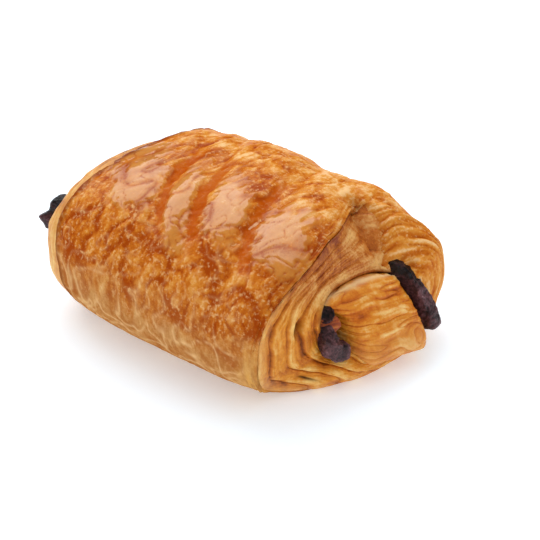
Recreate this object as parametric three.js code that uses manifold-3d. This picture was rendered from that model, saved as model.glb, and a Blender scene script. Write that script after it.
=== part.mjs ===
// Pain au chocolat: a rolled piece of laminated dough, baked, with two chocolate batons running through it.
// Millimetres. +X runs along the roll towards its open, sloping end; +Z is up; the base lies on z = 0.

import * as THREE from 'three';
import { ParametricGeometry } from 'three/addons/geometries/ParametricGeometry.js';
import { mergeVertices } from 'three/addons/utils/BufferGeometryUtils.js';
import Module from 'manifold-3d';

// The rolled dough's cross-section
const halfWidth = 44;
const crustHeight = 47.5;
const waistHeight = 17; // level at which the roll is widest
const roundness = 2.6; // exponent of the upper half's superellipse
const baseRoundness = 2.3; // the same for the underside
const baseSink = 1.09; // how far the underside would bulge below its flat base, as a share of the waist

// Ends of the outer sheet of dough: place along x, and share of the full section left there
const nearLip = { x: 43, width: 0.93, height: 0.885, lobeWidth: 0.95 };
const farLip = { x: -46, width: 0.91, height: 0.93, lobeWidth: 0.93 };

// How the lips wander along x: [angle around the roll in degrees, distance, spread in degrees]
const nearLipWander = [[62, -17, 30], [-15, -1, 20], [-80, 5, 30], [-130, -4, 25]];
const farLipWander = [[-90, -3, 40], [60, 2, 40], [-150, 3, 30]];

// The fold of dough that bulges out between the batons at the near end, leaning outwards towards its nose
const tongue = { y: 5.2, z: 17, halfWidth: 14.8, halfHeight: 12.5, squareness: 3 };
const tongueFace = { rimX: 44, rimZ: 28, noseX: 57.5, noseZ: 8, sideways: 0.07, drop: 1.6 };

// The leaves of dough between the outer sheet and that fold, and the crevice around it
const leaves = { count: 5, step: 0.9, topX: 40, sideX: 46, baseX: 51 };
const crevice = { topX: 40, sideX: 39, baseX: 48 };
const lipRoll = 1.8; // how far the outer sheet's cut edge bulges

// The inner coil that stands out of the far end; its rolled layers show as a spiral step
const coil = { x: -46.5, reach: 8.5, radius: 0.86, rim: 0.03, turns: 2, step: 0.7 };

// Valleys pressed across the glazed top: [x where it crosses the middle, slant, depth, half-width]
const valleys = [[-23, 0.45, 1.2, 4], [-12, 0.5, 1.3, 4.5], [13, 0.35, 1.6, 5]];
const hump = { x: 23, angle: 42, height: 2.6, length: 8, spread: 17 };

// Chocolate batons: a flat stick each, softened and bent down where it leaves the dough
const baton = { thickness: 4.4, depth: 7.2, corner: 1.2, steps: 22, gap: 0.35, level: 21 };
const batonPaths = {
  baton_front: [[-62.5, -22.5, 20], [-59, -20, 22.5], [-52, -19, 23], [-30, -17.5, baton.level],
    [10, -15.5, baton.level], [34, -14, baton.level + 1], [41.5, -13.2, 20.5], [46, -12.6, 16.5], [49.5, -11.6, 11.5]],
  baton_back: [[-59, 17, 20.5], [-50, 18, 21], [-30, 19.5, baton.level], [10, 21.5, baton.level],
    [36, 23, baton.level + 1.5], [43, 24.2, 20], [47.5, 25, 14.5], [51, 25.4, 9]],
};

// Grid of the dough's surface: columns around, and zones of rows from the far end's middle to the near end's.
// In a cap, the first radius is where its zone starts, as a share of the way from the middle to the lip.
const columns = 68;
const farCapZones = [[10, 0, 0.83], [2, 0.83, 0.89], [3, 0.89, 1]];
const sideRows = 17;
const nearCapZones = [[4, 1, 0.88], [11, 0.88, 0.61], [2, 0.61, 0.56], [1, 0.56, 0.5], [1, 0.5, 0.47], [8, 0.47, 0]];
const lipRadius = 0.88;
const creviceRadius = { outer: 0.61, floor: 0.56 };
const tongueRadius = 0.485;

const colours = { crust: 0xc8752c, chocolate: 0x2a1713 };

const { smoothstep, lerp, degToRad, clamp } = THREE.MathUtils;
const power = (value, exponent) => Math.sign(value) * Math.abs(value) ** exponent;
const bell = (value, width) => Math.exp(-((value / width) ** 2));
const sumRows = (zones) => zones.reduce((sum, [rows]) => sum + rows, 0);

// Smallest turn in degrees between an angle in radians and one in degrees
function turn(angle, fromDegrees) {
  const t = (angle * 180) / Math.PI - fromDegrees;
  return t - 360 * Math.round(t / 360);
}

const wander = (angle, bends) => bends.reduce((sum, [at, reach, spread]) => sum + reach * bell(turn(angle, at), spread), 0);

// Value across the top, the sides or the underside, blended around the roll
function around(angle, { topX, sideX, baseX }) {
  const rise = Math.sin(angle);
  return sideX + (topX - sideX) * smoothstep(rise, 0.3, 0.95) + (baseX - sideX) * smoothstep(-rise, 0.3, 0.95);
}

// Point of the cross-section at an angle from +Y, for given shares of its width and height
function section(angle, width, height, lobeWidth) {
  const upper = Math.sin(angle) > 0;
  const exponent = 2 / (upper ? roundness : baseRoundness);
  const across = power(Math.cos(angle), exponent);
  const reach = power(Math.sin(angle), exponent);
  const y = halfWidth * across * (across > 0 ? lobeWidth : width);
  const z = waistHeight + reach * (upper ? crustHeight * height - waistHeight : waistHeight * baseSink);
  return [y, z];
}

const lipSection = (angle, lip) => section(angle, lip.width, lip.height, lip.lobeWidth);

// Outer face of the dough at a place s along the side: -1 at the far lip, 1 at the near lip
function sidePoint(angle, s, target) {
  const lip = s > 0 ? nearLip : farLip;
  const left = (share, fall) => 1 - (1 - share) * Math.abs(s) ** fall;
  const farX = farLip.x + wander(angle, farLipWander);
  const nearX = nearLip.x + wander(angle, nearLipWander);
  const x = lerp(farX, nearX, (s + 1) / 2);
  const [y, z] = section(angle, left(lip.width, 3.5), left(lip.height, s > 0 ? 2 : 3), left(lip.lobeWidth, 3));
  const onTop = smoothstep(Math.sin(angle), 0.1, 0.7);
  const dip = valleys.reduce((sum, [at, slant, depth, width]) => sum + depth * bell(x + slant * y - at, width), 0);
  const swell = hump.height * bell(x - hump.x, hump.length) * bell(turn(angle, hump.angle), hump.spread);
  target.set(x, y + swell * 0.5, z - dip * onTop + swell);
}

// Face of the tongue, as x over the end's y and z
function tongueX(y, z) {
  const { rimX, rimZ, noseX, noseZ, sideways, drop } = tongueFace;
  const rise = clamp((z - noseZ) / (rimZ - noseZ), 0, 1);
  return lerp(noseX, rimX, rise ** 1.4) - drop * Math.max(0, noseZ - z) + sideways * (y - tongue.y);
}

// Near end: the lip at radius 1, the leaves, the crevice, and the tongue out to the middle at radius 0
function nearCapPoint(angle, radius, target) {
  const [lipY, lipZ] = lipSection(angle, nearLip);
  const exponent = 2 / tongue.squareness;
  const rimY = tongue.y + tongue.halfWidth * power(Math.cos(angle), exponent);
  const rimZ = tongue.z + tongue.halfHeight * power(Math.sin(angle), exponent);
  if (radius < tongueRadius) {
    const share = radius / tongueRadius;
    const y = lerp(tongue.y, rimY, share);
    const z = lerp(tongue.z, rimZ, share);
    target.set(tongueX(y, z) - 2 * share ** 6, y, z);
    return;
  }
  const out = (radius - tongueRadius) / (1 - tongueRadius);
  const y = lerp(rimY, lipY, out);
  const z = lerp(rimZ, lipZ, out);
  const lipX = nearLip.x + wander(angle, nearLipWander);
  const inwards = clamp((1 - radius) / (1 - creviceRadius.outer), 0, 1);
  const onSides = 1 - smoothstep(Math.sin(angle), 0.55, 0.9);
  const steps = leaves.step * Math.sin(2 * Math.PI * leaves.count * inwards) * smoothstep(inwards, 0.1, 0.35) * onSides;
  const roll = lipRoll * Math.sin(Math.PI * clamp((1 - radius) / (1 - lipRadius), 0, 1));
  const foldX = lerp(lipX, around(angle, leaves), smoothstep(inwards, 0.15, 1)) + roll + steps;
  const sunk = 1 - smoothstep(radius, creviceRadius.floor, creviceRadius.outer);
  target.set(lerp(foldX, around(angle, crevice), sunk), y, z);
}

// Far end: the lip, then the inner coil that stands out beyond it
function farCapPoint(angle, radius, target) {
  const [lipY, lipZ] = lipSection(angle, farLip);
  const lipX = farLip.x + wander(angle, farLipWander);
  const wound = coil.turns * (radius / coil.radius) + angle / (2 * Math.PI);
  const onFace = smoothstep(radius, 0, 0.3) * (1 - smoothstep(radius, 0.7, 0.83));
  const layers = coil.step * Math.cos(2 * Math.PI * wound) * onFace;
  const dome = coil.x - coil.reach * (1 - Math.min(1, radius / coil.radius) ** 3) - layers;
  const roll = lipRoll * Math.sin(Math.PI * clamp((1 - radius) / (1 - coil.radius), 0, 1));
  const onCoil = 1 - smoothstep(radius, coil.radius - coil.rim, coil.radius + coil.rim);
  target.set(lerp(lipX - roll, dome, onCoil), lipY * radius, lerp(waistHeight, lipZ, radius));
}

// Radius at a row, counted from the start of the zones
function radiusAt(row, zones) {
  let first = 0;
  for (const [rows, from, to] of zones) {
    if (row <= first + rows) return lerp(from, to, (row - first) / rows);
    first += rows;
  }
  return zones.at(-1)[2];
}

// The dough's closed surface: u runs around the roll, v from the far end's middle to the near end's
const farRows = sumRows(farCapZones);
const nearRows = sumRows(nearCapZones);
function doughPoint(u, v, target) {
  const angle = (u % 1) * 2 * Math.PI;
  const row = Math.round(v * (farRows + sideRows + nearRows));
  if (row < farRows) farCapPoint(angle, radiusAt(row, farCapZones), target);
  else if (row <= farRows + sideRows) sidePoint(angle, (2 * (row - farRows)) / sideRows - 1, target);
  else nearCapPoint(angle, radiusAt(row - farRows - sideRows, nearCapZones), target);
  target.z = Math.max(0, target.z);
}

// A stick of chocolate along a path, its section grown by a margin
function batonGeometry(points, margin) {
  const t = baton.thickness / 2 + margin;
  const d = baton.depth / 2 + margin;
  const c = baton.corner;
  const corners = [[t - c, -d], [t, c - d], [t, d - c], [t - c, d], [c - t, d], [-t, d - c], [-t, c - d], [c - t, -d]];
  const outline = new THREE.Shape(corners.map(([across, up]) => new THREE.Vector2(up, across)));
  const path = new THREE.CatmullRomCurve3(points.map((point) => new THREE.Vector3(...point)));
  return new THREE.ExtrudeGeometry(outline, { steps: baton.steps, extrudePath: path });
}

const wasm = await Module();
wasm.setup();

function solidFrom(geometry) {
  const bare = geometry.clone();
  bare.deleteAttribute('normal');
  bare.deleteAttribute('uv');
  const merged = mergeVertices(bare, 1e-3);
  const vertProperties = new Float32Array(merged.getAttribute('position').array);
  const triVerts = new Uint32Array(merged.getIndex().array);
  return new wasm.Manifold(new wasm.Mesh({ numProp: 3, vertProperties, triVerts }));
}

function geometryFrom(solid) {
  const mesh = solid.getMesh();
  return new THREE.BufferGeometry()
    .setAttribute('position', new THREE.BufferAttribute(mesh.vertProperties, 3))
    .setIndex(new THREE.BufferAttribute(mesh.triVerts, 1));
}

function pastry() {
  const rows = farRows + sideRows + nearRows;
  let dough = solidFrom(new ParametricGeometry(doughPoint, columns, rows));
  for (const points of Object.values(batonPaths)) {
    dough = dough.subtract(solidFrom(batonGeometry(points, baton.gap)));
  }
  const material = new THREE.MeshStandardMaterial({ color: colours.crust, roughness: 0.45, metalness: 0 });
  const mesh = new THREE.Mesh(geometryFrom(dough), material);
  mesh.name = 'pastry';
  return mesh;
}

function chocolate(name) {
  const material = new THREE.MeshStandardMaterial({ color: colours.chocolate, roughness: 0.5, metalness: 0 });
  const mesh = new THREE.Mesh(batonGeometry(batonPaths[name], 0), material);
  mesh.name = name;
  return mesh;
}

const painAuChocolat = new THREE.Group();
painAuChocolat.add(pastry(), ...Object.keys(batonPaths).map(chocolate));
const middle = new THREE.Box3().setFromObject(painAuChocolat).getCenter(new THREE.Vector3());
painAuChocolat.position.set(-middle.x, -middle.y, 0);

export default painAuChocolat;
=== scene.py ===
import math
import bpy
import numpy as np
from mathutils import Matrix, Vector


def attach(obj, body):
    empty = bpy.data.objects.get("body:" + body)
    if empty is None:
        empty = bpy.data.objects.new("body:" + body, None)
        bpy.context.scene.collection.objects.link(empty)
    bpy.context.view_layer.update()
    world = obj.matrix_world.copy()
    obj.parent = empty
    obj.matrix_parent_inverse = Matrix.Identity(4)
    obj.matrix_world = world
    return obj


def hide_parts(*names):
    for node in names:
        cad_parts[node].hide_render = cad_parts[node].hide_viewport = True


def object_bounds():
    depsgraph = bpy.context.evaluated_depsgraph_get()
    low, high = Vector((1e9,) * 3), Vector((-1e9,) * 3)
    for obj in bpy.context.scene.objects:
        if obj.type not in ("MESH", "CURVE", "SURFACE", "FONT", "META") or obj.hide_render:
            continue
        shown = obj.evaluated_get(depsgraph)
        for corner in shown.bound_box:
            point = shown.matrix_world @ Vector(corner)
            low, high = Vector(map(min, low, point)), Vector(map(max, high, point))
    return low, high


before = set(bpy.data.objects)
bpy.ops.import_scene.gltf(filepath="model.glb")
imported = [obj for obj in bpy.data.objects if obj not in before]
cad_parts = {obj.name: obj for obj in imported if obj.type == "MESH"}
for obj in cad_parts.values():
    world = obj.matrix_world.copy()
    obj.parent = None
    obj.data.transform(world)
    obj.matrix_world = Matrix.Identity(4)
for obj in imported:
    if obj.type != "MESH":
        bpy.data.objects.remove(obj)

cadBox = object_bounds()
scene = bpy.context.scene
millimetre = 0.001
print("frame loaded")

# the roll's own shape, in millimetres, as in the solid model
roll = {
    "halfWidth": 44.0,
    "crustHeight": 47.5,
    "waist": 17.0,  # level at which the roll is widest
    "roundness": 2.6,
    "baseRoundness": 2.3,
    "baseSink": 1.09,
    "widthFall": 3.5,  # how late the section narrows on its way to a lip, and how late on the lobe's side
    "lobeFall": 3,
    "topFrom": (0.1, 0.7),  # sines between which the valleys set in
    "halfLength": 45,  # from the middle to a lip, as the patterns take it
    "oval": (36, 32),  # half-width and half-height of the ring that patterns are wrapped round
    "shift": 3.16,  # from the roll's own zero to the frame's origin, along x
}
# a lip: its x, the share of the section left there, and how it wanders: (degrees, distance, spread)
nearLip = {"x": 43.0, "width": 0.93, "height": 0.885, "lobe": 0.95, "heightFall": 2,
           "wander": ((62, -17, 30), (-15, -1, 20), (-80, 5, 30), (-130, -4, 25))}
farLip = {"x": -43.0, "width": 0.93, "height": 0.94, "lobe": 0.945, "heightFall": 3,
          "wander": ((-90, -3, 40), (60, 2, 40), (-158, 7.8, 32))}
valleys = ((-23, 0.45, 1.2, 4), (-12, 0.5, 1.3, 4.5), (13, 0.35, 1.6, 5))  # x, slant, depth, half-width
hump = {"x": 23.0, "angle": 42.0, "height": 2.6, "length": 8.0, "spread": 17.0, "sideways": 0.5}


def bell(value, width):
    return np.exp(-(value / width) ** 2)


def smooth(value, start, end):
    t = np.clip((value - start) / (end - start), 0, 1)
    return t * t * (3 - 2 * t)


def mixed(a, b, t):
    return a + (b - a) * t


def power(value, exponent):
    return np.sign(value) * np.abs(value) ** exponent


def turn(angle, degrees):
    # smallest turn in degrees between an angle in radians and one in degrees
    t = np.degrees(angle) - degrees
    return t - 360 * np.round(t / 360)


def within(angle, degrees, full, none):
    # 1 up to the first distance from an angle in degrees, 0 from the second one on
    return 1 - smooth(np.abs(turn(angle, degrees)), full, none)


def lipX(angle, lip):
    # x of a lip around the roll: its own, plus a bell for each place where it wanders
    return lip["x"] + sum(reach * bell(turn(angle, at), spread) for at, reach, spread in lip["wander"])


def section(angle, width, height, lobe):
    # superellipse around the roll: y = half-width * cos^e, z = waist + reach * sin^e, rounder below the waist
    upper = np.sin(angle) > 0
    exponent = 2 / np.where(upper, roll["roundness"], roll["baseRoundness"])
    across = power(np.cos(angle), exponent)
    reach = power(np.sin(angle), exponent)
    y = roll["halfWidth"] * across * np.where(across > 0, lobe, width)
    tall = roll["crustHeight"] * height - roll["waist"]
    z = roll["waist"] + reach * np.where(upper, tall, roll["waist"] * roll["baseSink"])
    return y, z


def valleyAt(x, y):
    # depth of the valleys, a bell for each, slanting across the top
    return sum(depth * bell(x + slant * y - at, width) for at, slant, depth, width in valleys)


def sideFace(angle, s):
    # the outer sheet: x runs from lip to lip as s goes from -1 to 1, the section narrows towards both,
    # less the valleys across the top, plus the swelling beside the crease
    near = s > 0
    grow = np.abs(s)

    def left(key, fall):
        share = np.where(near, nearLip[key], farLip[key])
        return 1 - (1 - share) * grow ** fall

    x = mixed(lipX(angle, farLip), lipX(angle, nearLip), (s + 1) / 2)
    heightFall = np.where(near, nearLip["heightFall"], farLip["heightFall"])
    y, z = section(angle, left("width", roll["widthFall"]), left("height", heightFall),
                   left("lobe", roll["lobeFall"]))
    dip = valleyAt(x, y) * smooth(np.sin(angle), *roll["topFrom"])
    h = hump
    swell = h["height"] * bell(x - h["x"], h["length"]) * bell(turn(angle, h["angle"]), h["spread"])
    return np.stack([x, y + swell * h["sideways"], z - dip + swell], -1)


def unit(v):
    return v / np.maximum(np.linalg.norm(v, axis=-1, keepdims=True), 1e-9)


# noise: gradients on a lattice of whole numbers, blended smoothly, about -1 to 1
lattice = {
    "size": 64,
    "seedStep": np.array([17.31, 5.77, 11.93]),  # how far a seed of 1 moves the pattern
    "gain": 1.6,
    "finer": 2.03,  # each further layer is so much finer and so much weaker
    "weaker": 0.5,
    "creaseSlope": 3.2,
}
gradients = unit(np.random.default_rng(7).normal(size=(lattice["size"],) * 3 + (3,)))


def noise(p, seed):
    p = p + seed * lattice["seedStep"]
    low = np.floor(p).astype(int)
    f = p - low
    blend = f * f * f * (f * (f * 6 - 15) + 10)
    total = 0.0
    for corner in np.ndindex(2, 2, 2):
        at = (low + corner) % lattice["size"]
        grad = gradients[at[..., 0], at[..., 1], at[..., 2]]
        weight = np.prod(np.where(corner, blend, 1 - blend), -1)
        total = total + weight * (grad * (f - corner)).sum(-1)
    return total * lattice["gain"]


def layered(p, octaves, seed):
    # noise plus finer and weaker layers of it, over the sum of their weights
    weights = [lattice["weaker"] ** i for i in range(octaves)]
    return sum(noise(p * lattice["finer"] ** i, seed + i) * weights[i] for i in range(octaves)) / sum(weights)


def creased(p, seed):
    # 1 along thin wandering lines where the noise crosses zero, falling off to both sides
    return 1 - np.minimum(1, np.abs(noise(p, seed)) * lattice["creaseSlope"])


def spline(a, b, c, d, f):
    # cubic from b to c as f goes from 0 to 1, its slopes there those from a to c and from b to d
    return 0.5 * (2 * b + (c - a) * f + (2 * a - 5 * b + 4 * c - d) * f ** 2
                  + (3 * b - a - 3 * c + d) * f ** 3)


def insideBox(p):
    # nothing stands out of the solid model's box
    low, high = (np.array(corner) * 1000 - [roll["shift"], 0, 0] for corner in cadBox)
    return np.clip(p, low + 0.05, high - 0.05)


# meshes from grids
def gridMesh(name, grids, rowsClosed=False):
    # each grid is rows by columns of points in millimetres with its fields: columns close into rings, and
    # rows close too, or else the first and the last row each shrink to one point
    points, quads, fans, fields = [], [], [], {}
    first = 0
    for grid, values in grids:
        rows, columns = grid.shape[:2]
        if rowsClosed:
            def flat(v):
                return v.reshape(rows * columns, *v.shape[2:])
            index = first + np.arange(rows * columns).reshape(rows, columns)
        else:
            def flat(v):
                return np.concatenate([v[:1, 0], v[1:-1].reshape(-1, *v.shape[2:]), v[-1:, 0]])
            index = first + 1 + np.arange((rows - 2) * columns).reshape(rows - 2, columns)
        after = np.roll(index, -1, 1)
        below, belowAfter = np.roll(index, -1, 0), np.roll(after, -1, 0)
        ring = np.stack([index, after, belowAfter, below], -1)
        quads.append((ring if rowsClosed else ring[:-1]).reshape(-1, 4))
        points.append(flat(grid))
        first += len(points[-1])
        if not rowsClosed:
            start, end = np.full(columns, index[0, 0] - 1), np.full(columns, first - 1)
            fans += [np.stack([start, after[0], index[0]], -1), np.stack([index[-1], after[-1], end], -1)]
        for label, value in values.items():
            fields.setdefault(label, []).append(flat(value))
    quads = np.concatenate(quads)
    fans = np.concatenate(fans) if fans else np.empty((0, 3), int)
    place = (np.concatenate(points) + [roll["shift"], 0, 0]) * millimetre
    mesh = bpy.data.meshes.new(name)
    mesh.vertices.add(len(place))
    mesh.vertices.foreach_set("co", place.astype(np.float32).ravel())
    loops = np.concatenate([quads.ravel(), fans.ravel()]).astype(np.int32)
    starts = np.concatenate([np.arange(len(quads)) * 4, quads.size + np.arange(len(fans)) * 3])
    mesh.loops.add(len(loops))
    mesh.loops.foreach_set("vertex_index", loops)
    mesh.polygons.add(len(starts))
    mesh.polygons.foreach_set("loop_start", starts.astype(np.int32))
    mesh.update(calc_edges=True)
    mesh.validate()
    mesh.shade_smooth()
    for label, values in fields.items():
        layer = mesh.attributes.new(label, "FLOAT", "POINT")
        layer.data.foreach_set("value", np.concatenate(values).astype(np.float32))
    piece = bpy.data.objects.new(name, mesh)
    scene.collection.objects.link(piece)
    return piece


def anglesAround(count, dense, strength):
    # angles right round the roll, closer together near the given one
    u = np.linspace(0, 2 * np.pi, count, endpoint=False)
    return np.radians(dense) + u - strength * np.sin(u)


def onGirth(s, angle):
    # place on the unrolled surface in millimetres, for patterns: along the roll, and round an oval
    wide, tall = roll["oval"]
    return np.stack(np.broadcast_arrays(s, wide * np.cos(angle), tall * np.sin(angle)), -1)


# the open end, smooth: what the layers and the crust's edge follow
tongue = {"y": 6.8, "z": 17.5, "halfWidth": 13.9, "halfHeight": 10.5, "squareness": 3.0, "tilt": -0.13,
          "arch": 0.0062, "archY": -4.0}
nearFold = {
    "crevice": 0.09,  # where the crevice begins, as a share of the way from the tongue to the lip
    "cavities": ((2, 30, 0.14), (36, 9, 0.1), (160, 34, 0.25)),  # wider for a baton: at, spread, more
    "floor": 0.5,  # where its floor begins, as a share of its width
    "topX": 40.5, "leftX": 46.0, "rightX": 48.0, "baseX": 54.0,  # of the face beside the crevice
    "creviceTop": 37.0, "creviceSide": 34.5, "creviceBase": 52.5,  # x of its floor
    "sideTurn": 0.3,  # cosine up to which left and right blend
    "topTurn": (0.3, 0.95),  # sines between which a side gives way to the top or the base
    "swollenBase": (0.45, 0.9),  # sines between which the base starts to swell at once beside the lip
    "lobe": (9.0, 46.0, 60.0),  # degrees: its middle, and how far it is whole and reaches
    "lobeRise": 0.85,
    "creaseAngle": 66.0, "creaseDepth": 2.4, "creaseWidth": 3.6,
}


def lobeMask(angle):
    # 1 over the rounded lobe on the right of the near end, 0 elsewhere
    return within(angle, *nearFold["lobe"])


def aroundEnd(angle, top, left, right, base):
    # one value around the end, from four
    n = nearFold
    rise = np.sin(angle)
    side = mixed(right, left, smooth(-np.cos(angle), -n["sideTurn"], n["sideTurn"]))
    return side + (top - side) * smooth(rise, *n["topTurn"]) + (base - side) * smooth(-rise, *n["topTurn"])


def archDrop(y):
    # how far the tongue's arched top has dropped at y
    return tongue["arch"] * (y - tongue["archY"]) ** 2


def tongueOutline(angle):
    # superellipse, its top lowered by the arch and its base tilted
    e = 2 / tongue["squareness"]
    y = tongue["halfWidth"] * power(np.cos(angle), e)
    z = tongue["z"] + tongue["halfHeight"] * power(np.sin(angle), e)
    z = z - archDrop(tongue["y"] + y) * smooth(np.sin(angle), 0, 0.8)
    return tongue["y"] + y, z + tongue["tilt"] * y * smooth(-np.sin(angle), 0, 0.8)


def creaseAt(angle, t):
    # depth of the crease between the lobe and the hollow beside it
    n = nearFold
    return n["creaseDepth"] * bell(turn(angle, n["creaseAngle"]), n["creaseWidth"]) * (1 - smooth(t, 0.75, 1))


def creviceShare(angle):
    n = nearFold
    return n["crevice"] + sum(more * bell(turn(angle, at), spread) for at, spread, more in n["cavities"])


def nearFace(angle, t):
    # from the lip at t = 0 to the crevice at t = 1: x goes to the fold's, y and z to the tongue's outline,
    # evenly at the sides and in a quarter circle over the lobe, less the crease
    n = nearFold
    lobe = lobeMask(angle)
    lip = sideFace(angle, np.ones_like(angle))
    rimY, rimZ = tongueOutline(angle)
    quarter = np.clip(t, 0, 1) * np.pi / 2
    inwards = mixed(t, 1 - np.cos(quarter), lobe) * (1 - creviceShare(angle))
    blunt = np.maximum(lobe, smooth(-np.sin(angle), *n["swollenBase"]))
    rising = mixed(smooth(t, 0.05, 1), np.sin(quarter) ** n["lobeRise"], blunt)
    foldX = aroundEnd(angle, n["topX"], n["leftX"], n["rightX"], n["baseX"])
    x = mixed(lip[..., 0], foldX, rising) - creaseAt(angle, t) * smooth(t, 0, 0.15)
    y = mixed(lip[..., 1], rimY, inwards)
    z = mixed(lip[..., 2], rimZ, inwards)
    return np.stack([x, y, z], -1)


# the outer sheet of dough, browned and glazed
crust = {
    "columns": 376, "denseAt": 95, "denser": 0.35,
    "rows": 188,
    "curlRows": 44,  # the part of the sheet that curls in over the lobe
    "edgeRows": 7,
    "innerRows": 10, "innerCurlRows": 6,
    "thickness": 1.4,
    "levelTop": 47,  # height at which the field of height reaches 1
    "cover": (11, 49, 56),  # where it curls in, in degrees: the middle, and how far it is whole and reaches
    "curl": 0.985,  # how far in it reaches there, and elsewhere
    "overhang": 0.06,
    "curlLength": 24,  # of the curled part, as the patterns take it
    "edgeSink": 1.1,  # how far its edge dips into the layers, and how much more at degrees, spread
    "creaseSink": (2.2, 64, 8),
    "lump": 0.45,  # heights: broad unevenness
    "plateau": 0.3,
    "wrinkle": 0.22,
    "blister": 0.075,
    "seam": 0.3,
    "crackle": 0.12,
    "vein": 0.16,
    "fold": 1.1,  # of the folds that follow the lobe's edge
    "strand": 0.3,  # of the strands beside the near lip, and how much more where leaves show through
    "leafStrand": 0.7,
    "warp": 2.2, "warpSize": 8,  # how far the patterns wander
    "ragged": ((0.3, 5, 31), (0.2, 2, 32), (0.1, 0.9, 33)),  # edges of the patches: depth, size, seed
}
# sizes of its patterns in millimetres, along the roll and across it
crustPattern = {
    "seams": (8, 13, 13), "veins": (6, 7, 7), "waves": (2.2, 4.2, 4.2), "folds": (2.8, 15, 15),
    "small": (0.9, 1.6, 1.6), "strands": (1.3, 10, 10), "broad": (17, 20, 20), "crackle": (3.4, 5, 5),
}
# smooth shiny plateaus: place along the roll, half-length, degrees around, half-spread
plateaus = ((-30, 10.5, 107, 19), (-10.5, 4.6, 114, 24), (7.0, 7.0, 107, 18), (29, 9.8, 106, 18))
channels = ((-16.2, 2.7), (-3.4, 2.6), (17.4, 2.2))  # glossy orange channels between them: place, half-width
channelEnds = (106, 16, 27)  # degrees: their middle, and how far they are whole and reach
lean = {"angle": 105, "slant": 0.45}  # both lean by this many millimetres for each degree from the angle


def crustReach(angle):
    # share of the way from the lip to the crevice that the sheet covers, with a ragged edge
    ragged = 0.02 * noise(onGirth(0, angle) / 7, 35) + 0.03 * noise(onGirth(0, angle) / 2.2, 36)
    return mixed(crust["overhang"] + ragged, crust["curl"], within(angle, *crust["cover"]))


def crustBase(angle, w):
    # the sheet without its skin: the outer sheet for w from -1 to 1, and above 1 the face of the near end,
    # where its edges dip into the layers below, so that they meet in a soft groove
    side = sideFace(angle, np.minimum(w, 1))
    side[..., 2] -= (creaseAt(angle, 0) * smooth(w, 0.82, 1))
    end = nearFace(angle, np.maximum(w - 1, 0) * crustReach(angle))
    end[..., 2] -= creaseAt(angle, 0) * (1 - smooth(w, 1, 1.3))
    depth, at, spread = crust["creaseSink"]
    sink = (depth * bell(turn(angle, at), spread) * smooth(w, 1, 1.15)
            + crust["edgeSink"] * (1 - lobeMask(angle)) * smooth(w, 1, 2))
    end[..., 0] -= 0.8 * sink
    end[..., 2] -= 0.6 * sink * np.sin(angle)
    return np.where((w <= 1)[..., None], side, end)


def crustSkin(p, angle, w):
    # height above the plain sheet: unevenness, plateaus less channels, wrinkles, blisters and veins less
    # seams; and the fields that the finish reads
    c = crust
    size = crustPattern
    s = p[..., 0] + np.maximum(w - 1, 0) * crustReach(angle) * c["curlLength"]
    girth = onGirth(s, angle)
    up = np.sin(angle)
    warp = np.stack([noise(girth / c["warpSize"], i) for i in (1, 2, 3)], -1) * c["warp"]
    q = girth + warp
    ragged = sum(depth * noise(girth / wide, seed) for depth, wide, seed in c["ragged"])
    leaning = s - lean["slant"] * turn(angle, lean["angle"])
    calm = 0
    for at, length, around, spread in plateaus:
        reach = (np.abs((leaning - at) / length) ** 3 + np.abs(turn(angle, around) / spread) ** 3) ** (1 / 3)
        calm = np.maximum(calm, 1 - smooth(reach + ragged, 0.78, 1.08))
    dip = 0
    for at, width in channels:
        dip = np.maximum(dip, 1 - smooth(np.abs(leaning - at + 5 * ragged), 0.6 * width, width))
    dip = dip * within(angle, *channelEnds) * (1 - calm)
    lobe = smooth(w, 1.0, 1.15) * lobeMask(angle)
    seams = creased(q / size["seams"], 8) ** 2 * (1 - lobe)
    veins = creased((girth + 1.6 * warp) / size["veins"], 9) ** 4 * (1 - lobe)
    waves = layered(q / size["waves"], 3, 4)
    folds = layered((girth + 0.4 * warp) / size["folds"], 3, 6)
    waves = mixed(waves, folds, lobe)
    small = layered((girth + warp * 0.5) / size["small"], 2, 12)
    toLip = np.clip((1 - w) * roll["halfLength"], 0, roll["halfLength"])
    besideLip = (1 - smooth(toLip + 3 * ragged, 2, 9)) * (1 - lobeMask(angle))
    strands = layered(onGirth(toLip, angle) / size["strands"] + 0.5 * ragged[..., None], 3, 14)
    waves = mixed(waves, 1.3 * strands, besideLip)
    veins = veins * (1 - besideLip)
    broad = layered(girth / size["broad"], 2, 20)
    bare = smooth(-up, -0.7, 0.0)  # the low sides, smoother and less glazed
    crackle = creased((girth + warp) / size["crackle"], 10) ** 5 * calm
    rough = (1 - 0.65 * calm) * mixed(1, 0.4, bare)
    leafy = besideLip * smooth(-up, -0.35, 0.25)  # low beside the lip the outermost leaves show through
    wrinkle = mixed(mixed(c["wrinkle"], c["strand"] + c["leafStrand"] * leafy, besideLip), c["fold"], lobe)
    height = (c["lump"] * broad + c["plateau"] * (calm - dip)
              + (wrinkle * waves + c["blister"] * small - c["seam"] * seams + c["vein"] * veins) * rough
              - c["crackle"] * crackle)
    seams = np.maximum(seams, crackle)
    return height, {"rise": waves, "seams": seams, "small": small, "calm": calm, "dip": dip, "veins": veins,
                    "leafy": leafy}


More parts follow.
